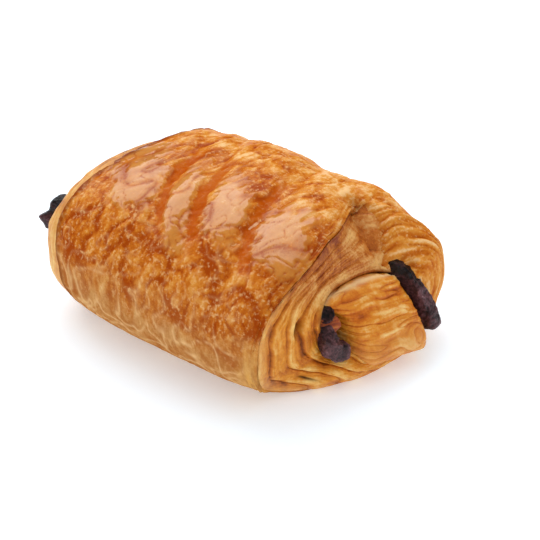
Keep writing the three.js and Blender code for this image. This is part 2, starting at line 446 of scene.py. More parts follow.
def makeCrust():
    # a sheet with thickness: out along its outer face, round its near edge, back inside, round its far edge
    c = crust
    angle = anglesAround(c["columns"], c["denseAt"], c["denser"])[None, :]
    over = np.linspace(0, 1, c["edgeRows"] + 2)[1:-1]
    out = np.concatenate([np.linspace(-1, 1, c["rows"]), np.linspace(1, 2, c["curlRows"] + 1)[1:]])
    inside = np.concatenate([np.linspace(2, 1, c["innerCurlRows"]), np.linspace(1, -1, c["innerRows"])[1:]])
    bulge = np.sin(np.pi * over)
    w = np.concatenate([out, 2 + 0.03 * bulge, inside, -1 - 0.012 * bulge])[:, None]
    depth = np.concatenate([np.zeros(len(out)), over, np.ones(len(inside)), 1 - over])[:, None]
    angle, w = np.broadcast_arrays(angle, w)
    tiny = 1e-3
    around = crustBase(angle + tiny, w) - crustBase(angle - tiny, w)
    along = crustBase(angle, w + tiny) - crustBase(angle, w - tiny)
    outwards = unit(np.cross(around, along))
    p = crustBase(angle, w)
    height, fields = crustSkin(p, angle, w)
    p = p + outwards * (height * (1 - depth) - depth * c["thickness"])[..., None]
    p[..., 2] = np.maximum(0, p[..., 2])
    p = insideBox(p)
    # where the finish changes: glaze on top, the lobe, dark edges, painted shade in the crease and where the
    # sheet curls into the hollow, height, and the side away
    up = np.sin(angle)
    girth = onGirth(p[..., 0], angle)
    onEnd = smooth(w, 1, 1.12)
    offLobe = 1 - lobeMask(angle)
    toNear, toFar = (1 - w) * roll["halfLength"], (1 + w) * roll["halfLength"]
    fields["glaze"] = np.maximum(smooth(up + 0.2 * noise(girth / 9, 41), 0.25, 0.8), 0.6 * onEnd)
    fields["end"] = onEnd * lobeMask(angle)
    fields["nearEdge"] = ((1 - smooth(toNear + 2.5 * noise(girth / 4, 44), 0.5, 10)) * offLobe
                          * mixed(0.05, 1, bell(turn(angle, 105), 42)) * (1 - 0.7 * smooth(w, 1, 1.6)))
    fields["farEdge"] = 1 - smooth(toFar + 1.2 * noise(girth / 3.5, 42), 0.4, 3.5)
    # painted shade: darker where the curled sheet turns into the hollow by the back baton, and along the
    # crease beside the lobe
    curlShade = smooth(w + 0.1 * noise(girth / 2, 45), 1.8, 2.0) * bell(turn(angle, 40), 14)
    inCrease = bell(turn(angle, nearFold["creaseAngle"] - 1), 6) * smooth(w, 0.8, 1.0)
    fields["crease"] = np.maximum(curlShade, inCrease)
    fields["level"] = np.clip(p[..., 2] / c["levelTop"], 0, 1)
    behind = smooth(-turn(angle, 101) + 40 * noise(girth / 14, 43), 0, 26)
    fields["behind"] = behind * smooth(up, -0.2, 0.3) * (1 - onEnd)
    return gridMesh("crust", [(p, fields)], rowsClosed=True)


# the near end: cut edges of the rolled layers, from the lip in to the crevice
nearEnd = {
    "columns": 500, "denseAt": 190, "denser": 0.45,
    "rows": 150,  # from the lip to the crevice
    "floorRows": 30,
    "backRows": 6,
    "backX": 6.0, "backStep": 6,  # where the hidden back shrinks to a point, and how far back it starts
    "span": 26,  # from the lip to the crevice, as the patterns take it
    "middleX": 36.0,  # where the crevice's floor closes, behind the tongue
    "covered": (11, 46, 55),  # where the crust lies over it, in degrees: the middle, how far whole and in all
    "under": (1.4, 1.2, 0.024),  # how far it lies under the crust there: back, down, and as a share inwards
    "leaves": 4.0,  # from the lip to the crevice, and along the underside
    "leavesBelow": 2.3,
    "slip": 2.0,  # leaves by which the pattern runs out to the lip along the underside
    "below": (176, 262),  # degrees between which it does
    "rounding": (1.1, 235, 25),  # leaves by which the lower corner rounds off, degrees, spread
    "leafy": (128, 158, 315, 335),  # degrees: the leaves start and end between these
    "calmBase": (0.42, 272, 30),  # how much gentler they are along the underside: share, degrees, spread
    "leafDepth": 1.35,
    "subDepth": 0.26,
    "strandDepth": 0.14,
    "cove": (118, 160),  # degrees between which the hollow on top goes over into leaves
    # painted shade: the crevice's floor is painted dark, most where the batons come out
    "hollows": ((30, 34), (168, 30)),  # the crevice is dark only where the batons come out: degrees, spread
}
# small holes between the leaves: degrees, t, depth, half-length around in degrees, half-width in t
pits = ((164, 0.70, 2.6, 6.5, 0.05), (136.5, 0.085, 1.0, 2.2, 0.03), (141, 0.06, 0.9, 2.0, 0.025),
        (128, 0.12, 0.5, 2.5, 0.02), (224, 0.42, 0.9, 6, 0.025))


def sawtooth(phase, sharp, fall):
    # leaves that lie over each other: a sharp rise at each whole number, then a slow fall to the next
    u = phase - np.floor(phase)
    return smooth(u, 0, sharp) * (1 - fall * u ** 1.4)


def makeNearEnd():
    # the face of the end, sunk by leaves, finer leaves, strands and holes, for t from 0 to 1; then the
    # crevice's floor, which closes behind the tongue, and a back that shrinks to a point inside the roll
    n = nearEnd
    m = nearFold
    t = np.concatenate([np.linspace(0, 1, n["rows"]), 1 + np.linspace(0, 1, n["floorRows"] + 1)[1:]])
    angle, t = np.broadcast_arrays(anglesAround(n["columns"], n["denseAt"], n["denser"])[None, :], t[:, None])
    degrees = np.degrees(angle) % 360
    face = nearFace(angle, np.minimum(t, 1))
    middle = np.array([n["middleX"], tongue["y"], tongue["z"]])
    p = mixed(face, middle, np.maximum(t - 1, 0)[..., None])
    # a little under the crust at the lip, and well under where it curls over the lobe
    back, down, inwards = n["under"]
    covered = np.maximum(within(angle, *n["covered"]) * (1 - smooth(t, 0.93, 0.99)), 1 - smooth(t, 0.0, 0.07))
    p[..., 0] -= back * covered
    p[..., 2] -= down * covered * smooth(np.sin(angle), 0.2, 0.8)
    shrink = 1 - inwards * (1 - smooth(t, 0, 0.06))
    p[..., 1] *= shrink
    p[..., 2] = roll["waist"] + (p[..., 2] - roll["waist"]) * shrink
    # the pattern of leaves
    girth = onGirth(t * n["span"], angle)
    start, whole, late, end = n["leafy"]
    leafy = 0.45 + 0.55 * smooth(degrees, start, whole) * (1 - smooth(degrees, late, end))
    calmer, at, spread = n["calmBase"]
    leafy = leafy * (1 - calmer * bell(turn(angle, at), spread))
    wobble = 0.24 * noise(girth / [9, 13, 13], 51) + 0.1 * noise(girth / [4, 6, 6], 52)
    rounder, at, spread = n["rounding"]
    rounding = rounder * bell(turn(angle, at), spread) * (1 - smooth(t, 0.5, 1))
    below = smooth(degrees, *n["below"])
    phase = mixed(n["leaves"], n["leavesBelow"], below) * t + n["slip"] * below - rounding + wobble
    leaf = sawtooth(phase, 0.16, 0.8)
    sub = sawtooth(phase * 2.7 + 0.7 * noise(girth / [6, 13, 13], 53), 0.25, 0.7)
    strands = layered(girth / [1.1, 11, 11] + 0.6 * wobble[..., None], 3, 54)
    strands = strands * (1 - 0.8 * bell(turn(angle, 60), 16))
    patches = layered(girth / [2.6, 4.5, 4.5] + 0.5 * wobble[..., None], 3, 58)
    strands = mixed(strands, 0.3 * strands + patches, smooth(leafy, 0.6, 1))
    lipStrands = (1 - smooth(t, 0.1, 0.25)) * smooth(t, 0.01, 0.04)
    fade = smooth(t, 0.01, 0.06) * (1 - smooth(t, 0.97, 1.08))
    subShare = mixed(0.25, 1, np.maximum(leafy, lipStrands))
    relief = (-n["leafDepth"] * (1 - leaf) * leafy - n["subDepth"] * (1 - sub) * subShare
              + n["strandDepth"] * strands) * fade
    pit = 0
    for around, at, depth, spread, width in pits:
        hole = bell(turn(angle, around) + 16 * wobble, spread) * bell(t - at, width)
        relief = relief - depth * hole ** 0.7
        pit = np.maximum(pit, hole)
    sunk = smooth(t, 1, 1 + m["floor"])
    floorX = aroundEnd(angle, m["creviceTop"], m["creviceSide"], m["creviceSide"], m["creviceBase"])
    floorX = mixed(floorX - 5 * bell(turn(angle, 42), 25), middle[0] - 4, smooth(t, 1.2, 1.7))
    p[..., 0] = np.where(t > 1, mixed(face[..., 0], floorX, sunk), p[..., 0]) + relief
    p[..., 0] += 0.1 * layered(p / 1.3, 2, 57) * (1 - sunk)
    p[..., 2] = np.maximum(p[..., 2], 0)
    # back of the piece, hidden in the roll: rings that shrink to a point
    back = np.linspace(0, 1, n["backRows"])[:, None, None]
    centre = np.array([n["backX"], 0.0, roll["waist"]])
    points = insideBox(np.concatenate([mixed(centre, p[:1] - [n["backStep"], 0, 0], back), p]))
    pad = np.zeros((n["backRows"], n["columns"]))
    hollow = np.maximum(*(bell(turn(angle, at), spread) for at, spread in n["hollows"]))
    onCove = 1 - smooth(degrees, *n["cove"])
    onFace = t < 1.01
    # paler in the middle of the leaves, beside the crevice and high in the hollow
    light = np.maximum(bell(t - 0.5, 0.2) * smooth(degrees, *n["cove"]), smooth(t, 0.75, 0.95) * onFace)
    light = np.maximum(light, 0.65 * bell(turn(angle, 77), 15) * smooth(t, 0.15, 0.4) * onFace)
    # sunk and pit carry painted shade: the crevice's floor and the small holes are painted dark
    fields = {"leaf": mixed(0.75, leaf, leafy * fade), "sub": sub, "strands": strands,
              "sunk": smooth(t, 0.985, 1.1) * mixed(0.3, 1, hollow), "lip": 1 - smooth(t, 0.05, 0.3),
              "cove": onCove, "pit": pit, "light": light}
    fields = {k: np.concatenate([pad, v]) for k, v in fields.items()}
    return gridMesh("near_layers", [(points, fields)])


# the tongue: the inner fold that bulges out between the batons
tongueFold = {
    "columns": 300,
    "rows": 280,
    "profile": ((30, 21.0), (36, 25.6), (41.0, 27.8), (44.2, 27.0), (47.8, 23.2), (51.2, 18.4), (54.5, 13.4),
                (56.8, 9.6), (56.2, 6.6), (52.5, 5.0), (46, 5.5), (36, 8), (30, 15)),
    "hub": (42.0, 15.8),  # x and z that the profile shrinks to at both sides
    "bluntness": 11, "sideRoundness": 2.4,
    "skew": 0.07,  # how much further out it stands for each millimetre to the right
    "foldDepth": 0.95, "creaseDepth": 0.4, "streakDepth": 0.22, "grainDepth": 0.1, "dentDepth": 0.25,
    "corner": 5.0,  # how far its top corner reaches out over the front baton
    "swirl": (15.5, 10.5),  # y and z of the middle of a small coil in its face
    "rimX": 42.2, "rimWidth": 1.1,
}


def closedCurve(corners):
    # smooth closed line through the corners
    corners = np.array(corners, float)
    t = np.linspace(0, len(corners), 40 * len(corners), endpoint=False)
    i = t.astype(int)
    return spline(*(corners[(i + k) % len(corners)] for k in (-1, 0, 1, 2)), (t - i)[:, None])


def makeTongue():
    # the profile is carried across the fold, arched at its top, and shrinks bluntly to a point at both sides
    t = tongueFold
    line = closedCurve(t["profile"])
    step = np.linalg.norm(np.roll(line, -1, 0) - line, axis=1)
    seen = mixed(0.18, 1.0, smooth(line[:, 0], 37, 42))  # fewer points where it's hidden in the roll
    total = np.concatenate([[0], np.cumsum(step * seen)])
    at = np.linspace(0, total[-1], t["columns"], endpoint=False)
    looped = np.concatenate([line, line[:1]])
    profile = np.stack([np.interp(at, total, looped[:, k]) for k in (0, 1)], -1)
    across = np.sin(np.linspace(-np.pi / 2, np.pi / 2, t["rows"]))[:, None]
    y = tongue["y"] + tongue["halfWidth"] * across
    share = (1 - np.abs(across) ** t["bluntness"]) ** (1 / t["sideRoundness"])
    hub = np.array(t["hub"])
    ring = hub + (profile[None] - hub) * share[..., None]
    y = y - t["corner"] * smooth(ring[..., 1], 20, 26) * smooth(-across, 0.2, 1)
    x = ring[..., 0] + t["skew"] * (y - tongue["y"])
    z = ring[..., 1] - archDrop(y) * smooth(ring[..., 1], 11, 26)
    z = z + tongue["tilt"] * (y - tongue["y"]) * (1 - smooth(ring[..., 1], 6, 22))
    p = np.stack([x, np.broadcast_to(y, x.shape), z], -1)
    outwards = unit(np.cross(np.roll(p, -1, 1) - np.roll(p, 1, 1), np.gradient(p, axis=0)))
    # rows of the pattern: they slope gently low down, arch with the rim, and coil around the swirl
    warp = np.stack([noise(p / 9, i) for i in (61, 62, 63)], -1) * 1.1
    q = p + warp
    top = smooth(q[..., 2], 11, 24)
    level = q[..., 2] + mixed(0.2 * (q[..., 1] - 5), archDrop(q[..., 1]), top)
    level = level + 0.7 * np.maximum(0, 43.5 - q[..., 0])
    coil = np.hypot((q[..., 1] - t["swirl"][0]) / 1.5, q[..., 2] - t["swirl"][1])
    level = mixed(level, 9 + coil, 0.8 * (1 - smooth(coil, 2.0, 6.0)) * smooth(x, 49, 52))
    row = np.stack([level, q[..., 1] / 18, q[..., 0] * 0 + 0.5], -1)
    folds = layered(row * [1 / 3.0, 1, 1], 2, 66)
    creases = creased(row * [1 / 2.6, 0.9, 1], 64) ** 4
    streaks = 0.95 * layered(row * [1 / 1.05, 1.6, 1], 3, 67) + 0.12 * layered(q / [4, 5, 1.6], 3, 59)
    height = (t["foldDepth"] * folds - t["creaseDepth"] * creases + t["streakDepth"] * streaks
              + t["grainDepth"] * layered(p / 1.2, 2, 68) + t["dentDepth"] * layered(p / 3.5, 2, 70))
    height = height * smooth(x, 34, 37)
    p = insideBox(p + outwards * (height * np.minimum(1, share * 1.5))[..., None])
    rim = bell(x + 0.8 * noise(p / 3, 69) - 0.07 * (y - 5) - t["rimX"], t["rimWidth"]) * smooth(z, 17, 21)
    fields = {"folds": folds, "creases": creases, "streaks": streaks, "rim": rim,
              "under": 1 - smooth(z, 8, 18)}
    return gridMesh("tongue", [(p, fields)])


# the far end: the inner sheet that stands out of the crust, and its coil
farEnd = {
    "columns": 380, "denseAt": 120, "denser": 0.2,
    "rows": 130,
    "backRows": 5,
    "backX": -20.0, "backStep": 6,  # where the hidden back shrinks to a point, and how far back it starts
    "span": 34,  # from the middle to the rim, as the patterns take it
    "reach": 8.4,  # how far it stands out of the lip, and how much more at an angle in degrees, spread
    "reachMore": (8.2, -165, 38),
    "radius": 0.98,  # as a share of the crust's
    "flare": (0.02, 106, 14),  # how much wider it is at an angle in degrees, spread
    "tuck": 0.045,  # how much lower it is on the side away from the camera
    "turns": 4.0, "depth": 1.3, "subDepth": 0.5, "strandDepth": 0.2,
}


def makeFarEnd():
    # a cap: x goes out by the reach times a blunt curve of the radius, less the coil's leaves and finer
    # leaves, y and z are the lip's times the radius; then a back that shrinks to a point inside the roll
    f = farEnd
    angle, radius = np.broadcast_arrays(anglesAround(f["columns"], f["denseAt"], f["denser"])[None, :],
                                        np.sin(np.linspace(0, np.pi / 2, f["rows"]))[:, None])
    lip = sideFace(angle, -np.ones_like(angle))
    wider, at, spread = f["flare"]
    away = smooth(-turn(angle, 94), 0, 14) * smooth(angle % 6.28, 0.2, 0.7)
    flare = 1 + wider * bell(turn(angle, at), spread) - f["tuck"] * away
    y = lip[..., 1] * radius * f["radius"]
    z = np.maximum(0, roll["waist"] + (lip[..., 2] - roll["waist"]) * radius * f["radius"] * flare)
    more, at, spread = f["reachMore"]
    reach = f["reach"] + more * bell(turn(angle, at), spread)
    x = lip[..., 0] - reach * (1 - radius ** 6) ** 0.5
    girth = onGirth(radius * f["span"], angle) * np.stack([radius * 0 + 1, radius, radius], -1)
    wobble = 0.25 * noise(girth / [9, 12, 12], 71) + 0.1 * noise(girth / [4, 6, 6], 72)
    phase = radius * f["turns"] + np.mod(angle, 2 * np.pi) / (2 * np.pi) + wobble
    leaf = sawtooth(1 - phase, 0.2, 0.75)
    sub = sawtooth(3.0 * (1 - phase) + 0.5 * noise(girth / [6, 12, 12], 73), 0.25, 0.7)
    strands = layered(girth / [0.8, 7, 7], 2, 74)
    rim = smooth(radius, 0.86, 0.93)
    strands = mixed(strands, 2.4 * layered(np.stack([x, y, z], -1) / [0.9, 6, 6], 3, 77) - 0.3, rim)
    inner = smooth(radius, 0.05, 0.2) * (1 - smooth(radius + 0.03 * noise(girth / 6, 75), 0.92, 0.98))
    uneven = 0.5 * layered(girth / [10, 14, 14], 2, 76) * smooth(radius, 0, 0.1)
    sunk = f["depth"] * (1 - leaf) + f["subDepth"] * (1 - sub)
    x = x + sunk * inner - f["strandDepth"] * strands - uneven
    cap = np.stack([x, y, z], -1)
    back = np.linspace(1, 0, f["backRows"])[:, None, None]
    centre = np.array([f["backX"], 0.0, roll["waist"]])
    points = insideBox(np.concatenate([cap, mixed(centre, cap[-1:] + [f["backStep"], 0, 0], back)]))
    pad = np.zeros((f["backRows"], f["columns"]))
    zero = np.zeros_like(radius)
    fields = {"leaf": mixed(0.84, leaf, inner), "sub": mixed(0.8, sub, inner), "strands": strands,
              "sunk": zero, "lip": smooth(radius, 0.9, 0.97), "cove": zero, "pit": zero, "light": zero}
    fields = {k: np.concatenate([v, pad]) for k, v in fields.items()}
    return gridMesh("far_layers", [(points, fields)])


# chocolate batons, softened and broken where they leave the dough
baton = {
    "around": 84, "along": 460,
    "corner": 0.32,  # exponent of the section: 1 is an oval, 0 a rectangle
    "blunt": 1.6,  # length over which an end rounds off
    "uneven": 0.8, "lumpSize": 3.2,
    "crumble": 0.4, "gritSize": 1.1,
    # painted shade: the chocolate is painted black between these heights, where it lies up in the hollows
    "charred": (21.0, 25.5),  # heights between which the chocolate turns black
}
# x, y, z of the path, then thickness across it and depth
batonPaths = {
    "baton_front": (
        (-62.4, -24.0, 19.8, 3.8, 4.2), (-60.9, -23.8, 21.3, 5.2, 5.2), (-59.8, -23.4, 23.8, 2.6, 2.8),
        (-58.8, -22.4, 26.4, 3.9, 3.8), (-56.8, -21.4, 27.2, 4.2, 4.6), (-53, -20.2, 25.8, 4.2, 5.6),
        (-47, -19, 23, 4.4, 7.2), (-30, -17.5, 21, 4.4, 7.2), (10, -15.5, 21, 4.4, 7.2),
        (32, -12.8, 22.4, 4.4, 7.2), (38.5, -11.6, 22.8, 5.6, 7.0), (42.8, -11.8, 22.4, 6.0, 4.8),
        (43.0, -12.8, 20.2, 4.2, 3.8), (45.4, -14.2, 18.6, 5.0, 5.8), (47.6, -14.2, 15.6, 5.2, 6.2),
        (48.8, -12.0, 13.6, 5.0, 5.8), (50.0, -8.6, 13.4, 4.2, 4.6)),
    "baton_back": (
        (-59, 17, 20.5, 4.6, 6.6), (-50, 18, 21, 4.4, 7.2), (-30, 19.5, 21, 4.4, 7.2),
        (10, 21.5, 21, 4.4, 7.2), (32, 21.6, 23.4, 4.4, 6.6), (38.0, 21.0, 24.8, 4.6, 5.6),
        (41.6, 21.4, 25.0, 4.8, 5.0), (45.2, 23.0, 22.2, 4.2, 5.4), (49.4, 23.8, 16.2, 4.8, 5.8),
        (52.6, 24.2, 10.6, 5.2, 6.0), (53.6, 24.4, 7.2, 5.2, 5.6)),
}


def openCurve(corners, count):
    # smooth line through the corners, evenly stepped by length
    corners = np.array(corners, float)
    padded = np.concatenate([2 * corners[:1] - corners[1:2], corners, 2 * corners[-1:] - corners[-2:-1]])
    t = np.linspace(0, len(corners) - 1 - 1e-9, 2000)
    i = t.astype(int)
    line = spline(*(padded[i + k] for k in range(4)), (t - i)[:, None])
    total = np.concatenate([[0], np.cumsum(np.linalg.norm(np.diff(line[:, :3], axis=0), axis=1))])
    at = np.linspace(0, total[-1], count)
    return np.stack([np.interp(at, total, line[:, k]) for k in range(line.shape[1])], -1), at


def makeBaton(name, seed):
    # a rounded rectangle carried along the path, closed bluntly at both ends, with a broken, lumpy skin
    b = baton
    line, at = openCurve(batonPaths[name], b["along"])
    path, size = line[:, :3], line[:, 3:] / 2
    forward = unit(np.gradient(path, axis=0))
    sideways = unit(np.cross(forward, [0, 0, 1]))
    upwards = np.cross(sideways, forward)
    angle = np.linspace(0, 2 * np.pi, b["around"], endpoint=False)
    across, rise = power(np.cos(angle), b["corner"]), power(np.sin(angle), b["corner"])
    fromEnd = np.minimum(at, at[-1] - at)
    blunt = np.sqrt(np.clip(1 - (1 - np.minimum(1, fromEnd / b["blunt"])) ** 2, 0, 1))[:, None]
    p = (path[:, None] + sideways[:, None] * (across * size[:, :1] * blunt)[..., None]
         + upwards[:, None] * (rise * size[:, 1:] * blunt)[..., None])
    lumps = layered(p / b["lumpSize"], 3, seed)
    grit = np.abs(layered(p / b["gritSize"], 2, seed + 7))
    outwards = unit(p - path[:, None])
    p = p + outwards * ((b["uneven"] * lumps - b["crumble"] * grit) * blunt)[..., None]
    p[[0, -1]] = path[[0, -1], None]
    charred = smooth(p[..., 2], *b["charred"])
    fields = {"bumps": lumps[:, ::-1], "grit": grit[:, ::-1], "charred": charred[:, ::-1]}
    return gridMesh(name + "_chocolate", [(insideBox(p)[:, ::-1], fields)])


# thin flakes of dough: centre, length and width, which way the length and the face point, bend, curl
flakes = (
    {"at": (45.8, -13.0, 21.3), "size": (8.4, 5.0), "along": (0.35, 0.9, 0.05), "face": (0.6, -0.35, 0.6),
     "bend": -0.05, "curl": -0.05},
    {"at": (42.4, -19.4, 24.8), "size": (9.0, 2.6), "along": (0.35, 0.25, -0.9), "face": (0.75, -0.6, 0.25),
     "bend": 0.03, "curl": -0.15},
)
flakeShape = {"columns": 64, "rows": 34, "thickness": 0.34, "sharpness": 0.6, "ragged": 0.22, "lift": 0.3}


def makeFlakes():
    # each flake is a flattened oval with a ragged rim, bent along its length and curled across it
    f = flakeShape
    grids = []
    for i, flake in enumerate(flakes):
        u, v = np.meshgrid(np.linspace(0, 2 * np.pi, f["columns"], endpoint=False),
                           np.linspace(0, np.pi, f["rows"]))
        rim = 1 + f["ragged"] * noise(np.stack([2.2 * np.cos(u), 2.2 * np.sin(u), 0 * u + i], -1), 91)
        spread = np.sin(v) ** f["sharpness"] * rim
        a = flake["size"][0] / 2 * spread * np.cos(u)
        b = flake["size"][1] / 2 * spread * np.sin(u)
        lift = f["lift"] * noise(np.stack([a / 3, b / 3, 0 * a + 3 * i], -1), 92)
        c = f["thickness"] / 2 * np.cos(v) + flake["bend"] * a ** 2 + flake["curl"] * b ** 2 + lift
        along = unit(np.array(flake["along"], float))
        face = np.array(flake["face"], float)
        face = unit(face - along * (face @ along))
        side = np.cross(face, along)
        p = np.array(flake["at"]) + a[..., None] * along + b[..., None] * side + c[..., None] * face
        fine = layered(np.stack([a / 5, b / 0.5, 0 * a + i], -1), 2, 93)
        grids.append((p[:, ::-1], {"streaks": fine[:, ::-1]}))
    return gridMesh("loose_flakes", grids)


crustPiece = makeCrust()
nearPiece = makeNearEnd()
tonguePiece = makeTongue()
farPiece = makeFarEnd()
flakePiece = makeFlakes()
print("dough made")
batons = {name: makeBaton(name, 81 + 3 * i) for i, name in enumerate(batonPaths)}
print("batons made")


# materials
def tint(code):
    # linear colour from a hex code
    parts = [int(code[i:i + 2], 16) / 255 for i in (0, 2, 4)]
    return [c / 12.92 if c <= 0.04045 else ((c + 0.055) / 1.055) ** 2.4 for c in parts] + [1.0]


class Field:
    # a value that varies over a surface: sums and products of fields add Math nodes
    def __init__(self, finish, socket):
        self.finish, self.socket = finish, socket

    def maths(self, operation, a, b):
        return self.finish.node("ShaderNodeMath", {"operation": operation}, {0: a, 1: b})

    def __add__(self, other):
        return self.maths("ADD", self, other)

    __radd__ = __add__

    def __mul__(self, other):
        return self.maths("MULTIPLY", self, other)

    __rmul__ = __mul__

    def __sub__(self, other):
        return self.maths("SUBTRACT", self, other)

    def __rsub__(self, other):
        return self.maths("SUBTRACT", other, self)

    def clamped(self, low=0.0, high=1.0):
        return self.finish.node("ShaderNodeMapRange", {"clamp": True}, {0: self, 1: low, 2: high})


class Finish:
    # a material under construction
    def __init__(self, name):
        self.material = bpy.data.materials.new(name)
        self.material.use_nodes = True
        self.tree = self.material.node_tree
        self.shader = self.tree.nodes["Principled BSDF"]
        self.place = self.node("ShaderNodeTexCoord", {}, {}, "Object")

    def fill(self, socket, value):
        if isinstance(value, Field):
            self.tree.links.new(value.socket, socket)
        else:
            socket.default_value = value

    def node(self, kind, settings, inputs, output=0):
        node = self.tree.nodes.new(kind)
        for key, value in settings.items():
            if key == "stops":
                ramp = node.color_ramp
                for spare in range(len(value) - 2):
                    ramp.elements.new(0.5)
                for element, (at, colour) in zip(ramp.elements, value):
                    element.position = at
                    element.color = colour
            else:
                setattr(node, key, value)
        for key, value in inputs.items():
            self.fill(node.inputs[key], value)
        return Field(self, node.outputs[output])

    def attributes(self, *names):
        return [self.node("ShaderNodeAttribute", {"attribute_name": name}, {}, "Fac") for name in names]

    def noise(self, scale, detail, roughness, distortion=0.0):
        return self.node("ShaderNodeTexNoise", {}, {"Vector": self.place, "Scale": scale, "Detail": detail,
                                                    "Roughness": roughness, "Distortion": distortion}, "Fac")

    def ramp(self, factor, *stops):
        return self.node("ShaderNodeValToRGB", {"stops": [(at, tint(code)) for at, code in stops]},
                         {"Fac": factor}, "Color")

    def blend(self, factor, a, b):
        return self.node("ShaderNodeMix", {"data_type": "RGBA"}, {0: factor, 6: a, 7: b}, 2)

    def bump(self, height, distance, strength):
        inputs = {"Height": height, "Distance": distance, "Strength": strength}
        return self.node("ShaderNodeBump", {}, inputs, "Normal")

    def set(self, **sockets):
        for key, value in sockets.items():
            self.fill(self.shader.inputs[key.replace("_", " ")], value)
        return self.material


scatterRadius = (1.0, 0.45, 0.2)  # how far red, green and blue light spreads inside the dough
crustLook = {
    "deep": "a4440c", "mid": "c76e1e", "pale": "efc186", "golden": "dc923c", "channel": "b64e08",
    "flat": "cd8a3e", "low": "b4763e", "lowPale": "dcac70", "lowDeep": "a4602c", "charAndShade": "70290c",
    "leaf": "e4a852",
    "grain": 1500, "blotch": 900, "broad": 110,  # how fine its noises are
    "roughness": 0.5, "coatRoughness": 0.09, "coatBending": 1.5,
    "bumpHeight": 0.0002, "bump": 0.36, "scatter": 0.08, "scatterScale": 0.0015,
}


def crustFinish():
    c = crustLook
    f = Finish("glazed crust")
    rise, seams, small, calm, dip, glaze = f.attributes("rise", "seams", "small", "calm", "dip", "glaze")
    end, level, near, far, crease = f.attributes("end", "level", "nearEdge", "farEdge", "crease")
    behind, veins, leafy = f.attributes("behind", "veins", "leafy")
    grain = f.noise(c["grain"], 4, 0.65, 0.4)
    blotch = f.noise(c["blotch"], 4, 0.6, 0.4)
    broad = f.noise(c["broad"], 4, 0.6, 0.6)
    # browned top: deep in the hollows and seams, golden to pale on the wrinkles, paler on the side away
    spots = ((grain - 0.5) * 0.8 + (broad - 0.5) * 1.5) * (1 - end * 0.5)
    tone = (rise * (end * 0.4 + 0.5) + small * 0.22 + spots + 0.37 - seams * 0.35 + behind * 0.28
            + end * 0.23).clamped()
    colour = f.ramp(tone, (0.05, c["deep"]), (0.4, c["mid"]), (0.72, c["golden"]), (1.0, c["pale"]))
    # paler brown low sides
    lowTone = (rise * 0.28 + small * 0.15 + (grain - 0.5) * 0.5 + (broad - 0.5) * 1.1 + 0.5).clamped()
    low = f.ramp(lowTone, (0.1, c["lowDeep"]), (0.45, c["low"]), (0.95, c["lowPale"]))
    lower = (1 - level + (broad - 0.5) * 0.5).clamped(0.34, 0.66)
    colour = f.blend(lower * (1 - end) * 0.9, colour, low)
    # pale flecks, partly the crust's own and partly painted glints, and veins; leaves beside the lip,
    # plateaus, channels, dark edges and painted shade in the crease
    flecksAndGlints = (small * 0.6 + rise * 0.3 + blotch * 2.6 - 1.4).clamped(0.0, 0.5) * (1 - calm)
    paleMarksAndGlints = (flecksAndGlints * (1 - lower * 0.8) * 0.6 + veins * (lower * 0.5 + 0.25)).clamped()
    colour = f.blend(paleMarksAndGlints, colour, tint(c["pale"]))
    colour = f.blend(leafy * (rise * 0.9 + 0.45).clamped(), colour, tint(c["leaf"]))
    colour = f.blend(calm * (0.7 - (grain - 0.5) * 1.5 - seams * 0.6).clamped(), colour, tint(c["flat"]))
    colour = f.blend(dip * 0.75, colour, tint(c["channel"]))
    # charred near and far lips, plus painted shade in the crease and where the sheet curls into the hollow
    colour = f.blend((near * 0.4 + far * 0.8 + crease * 0.5).clamped() * 0.8, colour, tint(c["charAndShade"]))
    bump = f.bump(grain + blotch * 0.6, c["bumpHeight"], c["bump"])
    coat = glaze * (1 - near * 0.8) * (1 - dip * 0.8) * (1 - seams * 0.6) * (calm * 0.83 + 0.17)
    return f.set(Base_Color=colour, Roughness=c["roughness"], Specular_IOR_Level=0.0, Coat_Weight=coat,
                 Coat_IOR=c["coatBending"], Coat_Roughness=c["coatRoughness"], Normal=bump,
                 Subsurface_Weight=c["scatter"], Subsurface_Radius=scatterRadius,
                 Subsurface_Scale=c["scatterScale"])


# what the cut layers and the tongue have in common
doughLook = {"grain": 1100, "specular": 0.1, "coat": 0.22, "coatRoughness": 0.24, "relief": 0.3,
             "bumpHeight": 0.0003, "bump": 0.6, "scatter": 0.12, "scatterScale": 0.0015}


def doughSurface(f, colour, roughness, grain, lines):
    d = doughLook
    bump = f.bump(grain + lines * d["relief"], d["bumpHeight"], d["bump"])
    return f.set(Base_Color=colour, Roughness=roughness, Specular_IOR_Level=d["specular"],
                 Coat_Weight=d["coat"], Coat_Roughness=d["coatRoughness"], Normal=bump,
                 Subsurface_Weight=d["scatter"], Subsurface_Radius=scatterRadius,
                 Subsurface_Scale=d["scatterScale"])


layerLook = {
    "groove": "86420f", "shade": "be6618", "mid": "de8e2a", "pale": "f6ca78", "cream": "ecc78d",
    "coveDeep": "8c3a0a", "cove": "c06c20", "covePale": "e8b46c", "dark": "1c0a05",
    "broad": 120, "roughness": 0.55,
}


